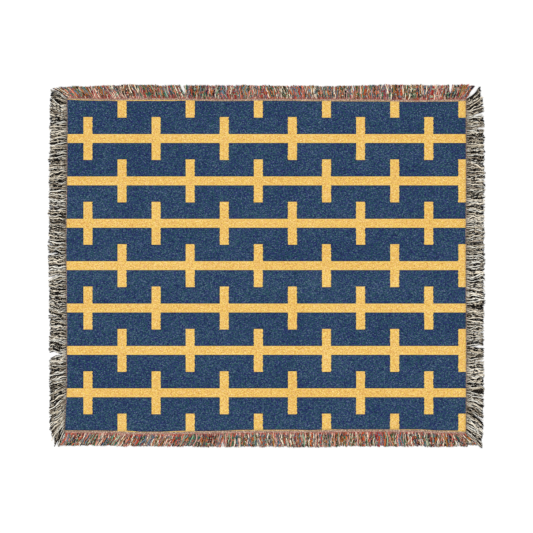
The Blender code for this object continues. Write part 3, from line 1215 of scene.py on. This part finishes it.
# How yarns drift and part, in metres and in shares of their length
DRIFT_WIDTH = 0.030  # how wide a stretch of fringe drifts together
DRIFT_LAYER = 11.0
DRIFT_LAYERS = 5.0  # how far apart the sides' layers of noise lie
NOTCH_WIDTH = 0.014  # how far to each side of a notch its pull on the yarns reaches
PARTS_FROM = 0.15  # yarns part from here on, and are all the way apart at PARTS_TO
PARTS_TO = 0.95

# Tufts, and the bed of yarns under them. A pair of numbers holds the least and the most.
SAME_TONE = 0.16  # share of tufts in the same tone as the one before
TUFT_WIDTHS = (0.5, 1.5)
DARK_CORNER = 0.035  # share of a side, at each end, where more tufts are dark
DARKENED = 0.25  # share of the light tufts there that are dark instead
BED_JITTER = 0.3  # how far yarns in the bed stray, against the room that one has
DARK_ROOM = 0.95  # how much of its room a dark tuft fills
TUFT_REACH = 1.04  # how far the longest tufts reach, against their lock
TUFT_RAGGED = 1.2  # how much more uneven their tips are than the bed's
TUFT_HEIGHTS = (0.3, 1.0)
LIGHT_RAISED = 0.3  # how much higher light tufts lie

# Single yarns
YARN_SIDES = 4
EMBEDDED = 0.0018  # how far a yarn starts inside its heading
LOOSENS = 0.010  # how far out a yarn is free to bend
YARN_REACHES = (0.96, 1.012)  # against the reach of their tuft
YARN_OVER_YARN = 0.0005  # how much higher every other yarn of a tuft lies
YARN_ASIDE = 0.0003  # how far a yarn lies to the side of its place
YARN_WIDTHS = (0.85, 1.15)
WAVE_LENGTHS = (0.7, 1.4)  # of bends and crinkles, against the length set for them
CRINKLE_LENGTH = 0.025
CRINKLES = (0.4, 1.3)
TAPER = 0.22  # how much narrower a yarn is at its tip, and from where on
TAPER_FROM = 0.85
ROOT_HEAP = 0.35  # share of its lift that a yarn has at its root, and where it has all of it
HEAPED_FROM = 0.2
TIP_SINKS = 0.4  # share of its lift that it loses by its tip, and from where on
SINKS_FROM = 0.7
FLUTTER = 0.0003  # how far it waves up and down
FLUTTERS = 1.3  # how many times shorter than a crinkle a flutter is
LIES_AT = 0.8  # height of a yarn's middle when it lies on the floor, in half widths
RESTS = 0.0004  # how far yarns in the bed lie above that, and at the least
LEAST_REST = 0.0003
LOWEST = 0.0002  # no part of a yarn is nearer to the floor
FLAT_ROUND = 1.38  # makes a four-sided yarn look as wide as a round one, and as high
TALL_ROUND = 1.05

# Where a kind's column of the map has the way round its yarn, and its length
ROUND_LOW = 0.1
ROUND_SPAN = 0.8
LENGTH_LOW = 0.02
LENGTH_SPAN = 0.96
CAP_SQUARE = ((0.3, 0.0), (0.7, 0.0), (0.7, 0.015), (0.3, 0.015))
ROOT_CAP = 0.002
TIP_CAP = 0.983


def drift_of(edge, way, outs, spinning):
    """How far yarns that are rooted here drift along the side together, like combed hair."""
    layer = DRIFT_LAYER + SIDES.index(edge.side) * DRIFT_LAYERS
    steps = [
        noise.noise(Vector((way / DRIFT_WIDTH, out / spinning.drift_length, layer)))
        for out in outs
    ]
    return spinning.drift * (np.array(steps) - steps[0])


def parted(edge, way, outs, reach):
    """How far yarns that are rooted here lie off to the side of the notches near them."""
    spread = smooth_step(PARTS_FROM, PARTS_TO, outs / reach)
    shift = 0.0
    for notch in NOTCHES[edge.side.name]:
        away = way - notch.place * edge.length
        shift += math.copysign(notch.half, away) * math.exp(-((away / NOTCH_WIDTH) ** 2))
    return spread * shift


class Fringe:
    """The yarns of one side as they are laid: their lines, half widths along them, and kinds.

    light_room is how much of its room a light tuft fills.
    """

    def __init__(self, edge, spinning, light_room, settings):
        self.edge = edge
        self.spinning = spinning
        self.light_room = light_room
        self.settings = settings
        self.chance = random.Random("yarns of " + edge.side.name)
        self.level = np.linspace(0.0, 1.0, spinning.rings)
        self.per_dye = KINDS // len(spinning.light)
        self.is_light = False
        self.lines = []
        self.widths = []
        self.kinds = []
        for lock in locks_of(edge):
            self.lay_bed(lock)
            for tuft in self.tufts_of(lock):
                self.lay_tuft(lock, tuft)

    def draw_dye(self, weights):
        """One of the dyes, drawn by how often each is used."""
        return self.chance.choices(range(len(weights)), weights)[0]

    def kind_in(self, dye_number):
        """One of the kinds of yarn in this dye."""
        return dye_number * self.per_dye + self.chance.randrange(self.per_dye)

    def tufts_of(self, lock):
        """A lock's tufts side by side, dark and light in turn, by shares of the lock's width."""
        chance = self.chance
        count = max(2, round(lock.spread / self.spinning.tuft + chance.uniform(-0.5, 0.5)))
        widths = [chance.uniform(*TUFT_WIDTHS) for _ in range(count)]
        place = lock.root / self.edge.length
        in_corner = min(place, 1.0 - place) < DARK_CORNER
        tufts = []
        low = 0.0
        for width in widths:
            if chance.random() > SAME_TONE:
                self.is_light = not self.is_light
            high = low + width / sum(widths)
            is_light = self.is_light and not (in_corner and chance.random() < DARKENED)
            tufts.append(Tuft(low, high, is_light))
            low = high
        return tufts

    def lay_bed(self, lock):
        """Dark yarns that lie close together on the floor, so that none of it shows."""
        chance = self.chance
        count = round(lock.spread / self.settings.bed_pitch)
        for number in range(count):
            share = (number + 0.5) / count + chance.uniform(-BED_JITTER, BED_JITTER) / count
            reach = lock.reach * (1.0 - self.spinning.ragged * chance.random())
            kind = self.kind_in(self.draw_dye(self.spinning.dark))
            self.lay_yarn(lock, np.full(self.spinning.rings, share), reach, 0.0, 0.0, kind)

    def lay_tuft(self, lock, tuft):
        """A few yarns of one dye that lie together, and stray from their lock's own lean."""
        chance = self.chance
        spinning = self.spinning
        dye_number = self.draw_dye(spinning.light if tuft.is_light else spinning.dark)
        tuft_kind = self.kind_in(dye_number)
        room = (tuft.high - tuft.low) * (self.light_room if tuft.is_light else DARK_ROOM)
        middle = (tuft.low + tuft.high) / 2
        yarns = max(1, round(room * lock.spread / self.settings.yarn_pitch))
        strays = chance.gauss(0.0, 1.0) * spinning.stray
        middle = middle + strays * smooth_step(0.0, 1.0, self.level)
        tuft_reach = lock.reach * (TUFT_REACH - TUFT_RAGGED * spinning.ragged * chance.random())
        sweep = chance.uniform(-1, 1) * spinning.bend
        sweep_turn = chance.uniform(0, math.tau)
        sweep_length = spinning.bend_length * chance.uniform(*WAVE_LENGTHS)
        raised = chance.uniform(*TUFT_HEIGHTS) + LIGHT_RAISED * tuft.is_light
        raised = raised * self.settings.raised
        for yarn in range(yarns):
            share = middle + ((yarn + 0.5) / yarns - 0.5) * room
            reach = tuft_reach * chance.uniform(*YARN_REACHES)
            turn = math.tau * self.outs(reach) / sweep_length + sweep_turn
            bend = sweep * (np.sin(turn) - math.sin(sweep_turn))
            same_kind = chance.random() < spinning.faithful
            kind = tuft_kind if same_kind else self.kind_in(dye_number)
            height = raised + (yarn % 2) * YARN_OVER_YARN
            self.lay_yarn(lock, share, reach, bend, height, kind)

    def outs(self, reach):
        """How far out from the heading each ring of a yarn lies."""
        return -EMBEDDED + (reach + EMBEDDED) * self.level

    def lay_yarn(self, lock, share, reach, bend, raised, kind):
        """One yarn at this share of its lock's width, bent and raised, with its own crinkle."""
        edge = self.edge
        chance = self.chance
        level = self.level
        out = self.outs(reach)
        free = smooth_step(0.0, LOOSENS, out)
        across = lock.across(np.maximum(out, 0.0), share) + chance.uniform(-1, 1) * YARN_ASIDE
        length = CRINKLE_LENGTH * chance.uniform(*WAVE_LENGTHS)
        turn = chance.uniform(0, math.tau)
        crinkle = self.settings.crinkle * chance.uniform(*CRINKLES)
        wave = crinkle * np.sin(math.tau * out / length + turn)
        way = lock.root + (share[0] - 0.5) * lock.spread
        aside = drift_of(edge, way, out, self.spinning) + parted(edge, way, out, reach)
        across = across + free * (bend + wave + aside)
        half = self.settings.yarn_width / 2 * chance.uniform(*YARN_WIDTHS)
        half = half * (1.0 - TAPER * smooth_step(TAPER_FROM, 1.0, level))
        heap = ROOT_HEAP + (1.0 - ROOT_HEAP) * smooth_step(0.0, HEAPED_FROM, level)
        heap = heap * (1.0 - TIP_SINKS * smooth_step(SINKS_FROM, 1.0, level))
        flutter = FLUTTER * np.sin(math.tau * out / length * FLUTTERS + turn * 2)
        height = half * LIES_AT + RESTS + heap * raised + free * flutter
        height = np.maximum(height, half * LIES_AT + LEAST_REST)
        flat_x = lock.foot.x + edge.along.x * across + edge.outward.x * out
        flat_y = lock.foot.y + edge.along.y * across + edge.outward.y * out
        self.lines.append(np.stack([flat_x, flat_y, height], axis=1))
        self.widths.append(half)
        self.kinds.append(kind)


def yarn_points(lines, widths):
    """The corners of every ring of every yarn."""
    ahead = np.gradient(lines, axis=1)
    ahead /= np.linalg.norm(ahead, axis=2, keepdims=True)
    sideways = np.cross(ahead, UP)
    sideways /= np.linalg.norm(sideways, axis=2, keepdims=True)
    upwards = np.cross(sideways, ahead)
    rounds = []
    for corner in range(YARN_SIDES):
        angle = math.tau * (corner + 0.5) / YARN_SIDES
        flat = sideways * (widths * math.cos(angle) * FLAT_ROUND)[:, :, None]
        high = upwards * (widths * math.sin(angle) * TALL_ROUND)[:, :, None]
        rounds.append(lines + flat + high)
    points = np.stack(rounds, axis=2)
    points[..., 2] = np.maximum(points[..., 2], LOWEST)
    return points.reshape(-1, 3)


def yarn_faces(count, rings):
    """The faces round every yarn, then those at their roots, then those at their tips."""
    yarn = np.arange(count)[:, None, None] * rings * YARN_SIDES
    ring = np.arange(rings - 1)[None, :, None] * YARN_SIDES
    here = np.arange(YARN_SIDES)[None, None, :]
    there = (here + 1) % YARN_SIDES
    quads = np.stack(
        [
            yarn + ring + here,
            yarn + ring + there,
            yarn + ring + YARN_SIDES + there,
            yarn + ring + YARN_SIDES + here,
        ],
        axis=-1,
    ).reshape(-1, 4)
    first = np.arange(count)[:, None] * rings * YARN_SIDES
    corners = np.arange(YARN_SIDES)[None, :]
    root_caps = first + corners[:, ::-1]
    tip_caps = first + (rings - 1) * YARN_SIDES + corners
    return np.concatenate([quads, root_caps, tip_caps])


def yarn_places(kinds, rings):
    """Places on the map. A kind has one column: across it is the way round, up it the length."""
    count = len(kinds)
    here = np.arange(YARN_SIDES)[None, None, :]
    shape = (count, rings - 1, YARN_SIDES)
    column = np.broadcast_to(kinds[:, None, None], shape)
    low = np.broadcast_to(ROUND_LOW + ROUND_SPAN * here / YARN_SIDES, shape)
    high = np.broadcast_to(ROUND_LOW + ROUND_SPAN * (here + 1) / YARN_SIDES, shape)
    level = np.arange(rings)[None, :, None] / (rings - 1) * LENGTH_SPAN + LENGTH_LOW
    before = np.broadcast_to(level[:, :-1], shape)
    after = np.broadcast_to(level[:, 1:], shape)
    u = (column[..., None] + np.stack([low, high, high, low], axis=-1)) / KINDS
    v = np.stack([before, before, after, after], axis=-1)
    places = [np.stack([u, v], axis=-1).reshape(-1, 2)]
    for base in (ROOT_CAP, TIP_CAP):
        cap = np.broadcast_to(np.array(CAP_SQUARE), (count, 4, 2)).copy()
        cap[..., 0] = (cap[..., 0] + kinds[:, None]) / KINDS
        cap[..., 1] += base
        places.append(cap.reshape(-1, 2))
    return np.concatenate(places)


def spin_yarns(name, fringe, finish):
    """Rounds every line into a closed yarn, and places each kind of yarn on the map."""
    lines = np.array(fringe.lines)
    count, rings, _ = lines.shape
    points = yarn_points(lines, np.array(fringe.widths))
    faces = yarn_faces(count, rings)
    maps = {PICTURE_MAP: yarn_places(np.array(fringe.kinds), rings)}
    return show_mesh(name, points.tolist(), faces.tolist(), maps, [finish])


# The operators

FLOOR_SIZE = 60.0
LAMP_SPREAD = 35.0  # degrees
LAMP_TURN = (-38.0, -22.0)  # degrees about x and y
SENSOR_WIDTH = 36.0
VIEW_END = 100.0  # how far the camera sees


def all_edges():
    """The panel's four edges by the name of the fringe that each carries."""
    return {side.name: Edge(side) for side in SIDES}


def carry(piece, node):
    """The piece rides on the throw and stands for the solid it dresses, which is hidden."""
    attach(piece, "root")
    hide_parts(node)


def palette_of(dyes, group):
    """All the colours of a group of dyes, in the order that it lists them in."""
    return [getattr(dyes, name) for name in group.__annotations__]


def lay_fringe(edge, spinning, light_room, settings, finish):
    """Spins the yarns of one side, which stand for that side's solid."""
    fringe = Fringe(edge, spinning, light_room, settings)
    yarns = spin_yarns(edge.short_name + "_fringe_yarns", fringe, finish)
    carry(yarns, edge.side.name)


class ThrowStage(bpy.types.Operator):
    """Lays the pale floor, lights it evenly and hangs the camera over the throw"""

    bl_idname = "throw.stage"
    bl_label = "Floor, light and camera"

    def execute(self, context):
        settings = context.scene.throw_stage
        bpy.ops.object.select_all(action="DESELECT")
        bpy.ops.mesh.primitive_plane_add(size=FLOOR_SIZE, location=(0.0, 0.0, 0.0))
        floor = context.object
        floor.name = "floor"
        material = bpy.data.materials.new("pale_floor")
        material.use_nodes = True
        shader = material.node_tree.nodes["Principled BSDF"]
        shader.inputs["Base Color"].default_value = (*settings.floor, 1.0)
        shader.inputs["Roughness"].default_value = 1.0
        shader.inputs["Specular IOR Level"].default_value = 0.0
        floor.data.materials.append(material)

        world = bpy.data.worlds.new("studio")
        world.use_nodes = True
        background = world.node_tree.nodes["Background"]
        background.inputs["Color"].default_value = (1.0, 1.0, 1.0, 1.0)
        background.inputs["Strength"].default_value = settings.sky
        context.scene.world = world

        lamp = bpy.data.lights.new("soft_lamp", "SUN")
        lamp.energy = settings.lamp
        lamp.angle = math.radians(LAMP_SPREAD)
        holder = bpy.data.objects.new("soft_lamp", lamp)
        holder.rotation_euler = (*map(math.radians, LAMP_TURN), 0.0)
        context.scene.collection.objects.link(holder)

        lens = bpy.data.cameras.new("camera")
        lens.sensor_width = SENSOR_WIDTH
        lens.lens = SENSOR_WIDTH * settings.camera_height / settings.frame_width
        lens.clip_end = VIEW_END
        camera = bpy.data.objects.new("camera", lens)
        camera.location = (0.0, settings.aim_y, settings.camera_height)
        context.scene.collection.objects.link(camera)
        context.scene.camera = camera
        context.scene.view_settings.view_transform = "Standard"
        return {"FINISHED"}


class ThrowHeadings(bpy.types.Operator):
    """Weaves the four headings that the fringe grows out of"""

    bl_idname = "throw.headings"
    bl_label = "Headings"

    def execute(self, context):
        dyes = context.scene.throw_heading_dyes
        ends = (
            (0.0, dyes.tan),
            (0.25, dyes.tan),
            (0.4, dyes.fawn),
            (0.6, dyes.rose),
            (1.0, dyes.brick),
        )
        sides = ((0.0, dyes.taupe), (1.0, dyes.taupe))
        strays = ((0.0, dyes.moss), (0.25, dyes.brick), (0.5, dyes.rose), (0.8, dyes.linen))
        for edge in all_edges().values():
            at_end = edge.side.name in ("fringe_top", "fringe_bottom")
            name = edge.short_name + "_heading_weave"
            finish = heading_finish(name, edge.side.heading, ends if at_end else sides, strays)
            carry(make_heading(edge, finish), edge.side.name)
        return {"FINISHED"}


class ThrowEndFringes(bpy.types.Operator):
    """Lays the multicoloured yarns along the top and bottom"""

    bl_idname = "throw.end_fringes"
    bl_label = "Top and bottom fringes"

    def execute(self, context):
        settings = context.scene.throw_fringe
        dyes = context.scene.throw_end_dyes
        roots = (
            (0.0, dyes.salmon),
            (0.12, dyes.crimson),
            (0.45, dyes.brick),
            (0.72, dyes.blush),
            (0.86, dyes.umber),
        )
        palette = palette_of(dyes, ThrowEndYarnDyes)
        finish = yarn_finish(
            "multicolour_yarn", palette, roots, root_share=0.65, root_length=0.24, patches=0.46
        )
        spinning = Spinning(
            tuft=settings.end_tuft,
            rings=12,
            bend=0.0012,
            bend_length=0.030,
            drift=0.0060,
            drift_length=0.030,
            stray=0.24,
            ragged=0.05,
            faithful=0.75,
            light=(0, 4, 6, 6, 5, 17, 8, 7, 3, 1, 8, 0, 0, 0, 0, 3),
            dark=(7, 6, 0, 3, 9, 0, 0, 0, 8, 8, 3, 5, 14, 13, 14, 1),
        )
        edges = all_edges()
        for node, light_room in (("fringe_top", 0.58), ("fringe_bottom", 0.72)):
            lay_fringe(edges[node], spinning, light_room, settings, finish)
        return {"FINISHED"}


class ThrowSideFringes(bpy.types.Operator):
    """Lays the crinkled black and cream yarns along the left and right"""

    bl_idname = "throw.side_fringes"
    bl_label = "Left and right fringes"

    def execute(self, context):
        settings = context.scene.throw_fringe
        dyes = context.scene.throw_side_dyes
        roots = ((0.0, dyes.bark), (0.4, dyes.stone), (0.75, dyes.coal))
        palette = palette_of(dyes, ThrowSideYarnDyes)
        finish = yarn_finish(
            "black_cream_yarn", palette, roots, root_share=0.70, root_length=0.28, patches=0.41
        )
        spinning = Spinning(
            tuft=settings.side_tuft,
            rings=14,
            bend=0.0023,
            bend_length=0.026,
            drift=0.0070,
            drift_length=0.036,
            stray=0.28,
            ragged=0.10,
            faithful=0.92,
            light=(0, 0, 0, 2, 4, 8, 16, 20),
            dark=(40, 9, 3, 1, 0, 0, 0, 0),
        )
        edges = all_edges()
        for node, light_room in (("fringe_left", 0.52), ("fringe_right", 0.59)):
            lay_fringe(edges[node], spinning, light_room, settings, finish)
        return {"FINISHED"}


class ThrowPanel(bpy.types.Operator):
    bl_idname = "throw.panel"
    bl_label = "Woven panel"

    def execute(self, context):
        settings = context.scene.throw_panel
        weave = context.scene.throw_weave
        dyes = context.scene.throw_cloth_dyes
        ground = (
            (0.0, dyes.navy),
            (0.3, dyes.ink),
            (0.52, dyes.denim),
            (0.75, dyes.petrol),
            (1.0, dyes.mist),
        )
        bars = ((0.0, dyes.ochre), (0.4, dyes.gold), (0.7, dyes.straw), (1.0, dyes.cream))
        cool = ((dyes.violet, 0.6), (dyes.pine, 0.6))
        warm = ((dyes.peach, 0.6), (dyes.lemon, 0.5))
        # Colours of the painted shade beside the bars and the painted highlight on their rims
        edge_shade_and_highlight = (dyes.navy, dyes.lemon)
        face = weave_finish("blue_gold_weave", weave, ground, bars, cool, warm, edge_shade_and_highlight)
        # The reverse's painted shade beside the bars and painted highlight on their rims
        edge_shade_and_highlight = (dyes.ochre, dyes.petrol)
        back = weave_finish("reverse_weave", weave, bars, ground, warm, cool, edge_shade_and_highlight)
        cloth = make_panel(all_edges(), settings, weave, [face, back])
        carry(cloth, "woven_panel")
        pieces = []
        for side in ("top", "bottom", "left", "right"):
            pieces += [side + "_heading", side + "_fringe_yarns"]
        return {"FINISHED"}


class ThrowSidebar(bpy.types.Panel):
    """Lists the steps that dress the throw, with their settings"""

    bl_idname = "VIEW3D_PT_throw"
    bl_label = "Woven throw"
    bl_space_type = "VIEW_3D"
    bl_region_type = "UI"
    bl_category = "Throw"

    def draw(self, context):
        layout = self.layout
        for operator in OPERATORS:
            layout.operator(operator.bl_idname)
        for attribute, group in SETTINGS.items():
            box = layout.box()
            box.label(text=group.__doc__.rstrip("."))
            for name in group.__annotations__:
                box.prop(getattr(context.scene, attribute), name)


SETTINGS = {
    "throw_stage": ThrowStageSettings,
    "throw_panel": ThrowPanelSettings,
    "throw_weave": ThrowWeaveSettings,
    "throw_cloth_dyes": ThrowClothDyes,
    "throw_heading_dyes": ThrowHeadingDyes,
    "throw_fringe": ThrowFringeSettings,
    "throw_end_dyes": ThrowEndYarnDyes,
    "throw_side_dyes": ThrowSideYarnDyes,
}
OPERATORS = (ThrowStage, ThrowHeadings, ThrowEndFringes, ThrowSideFringes, ThrowPanel)


def register():
    """Makes the settings, the operators and the panel known to Blender."""
    for attribute, group in SETTINGS.items():
        bpy.utils.register_class(group)
        setattr(bpy.types.Scene, attribute, bpy.props.PointerProperty(type=group))
    for kind in (*OPERATORS, ThrowSidebar):
        bpy.utils.register_class(kind)


def unregister():
    """Takes them out again."""
    for kind in (ThrowSidebar, *reversed(OPERATORS)):
        bpy.utils.unregister_class(kind)
    for attribute, group in reversed(list(SETTINGS.items())):
        delattr(bpy.types.Scene, attribute)
        bpy.utils.unregister_class(group)


def main():
    register()
    bpy.ops.throw.stage()
    bpy.ops.throw.headings()
    bpy.ops.throw.end_fringes()
    bpy.ops.throw.side_fringes()
    bpy.ops.throw.panel()


if __name__ == "__main__":
    main()
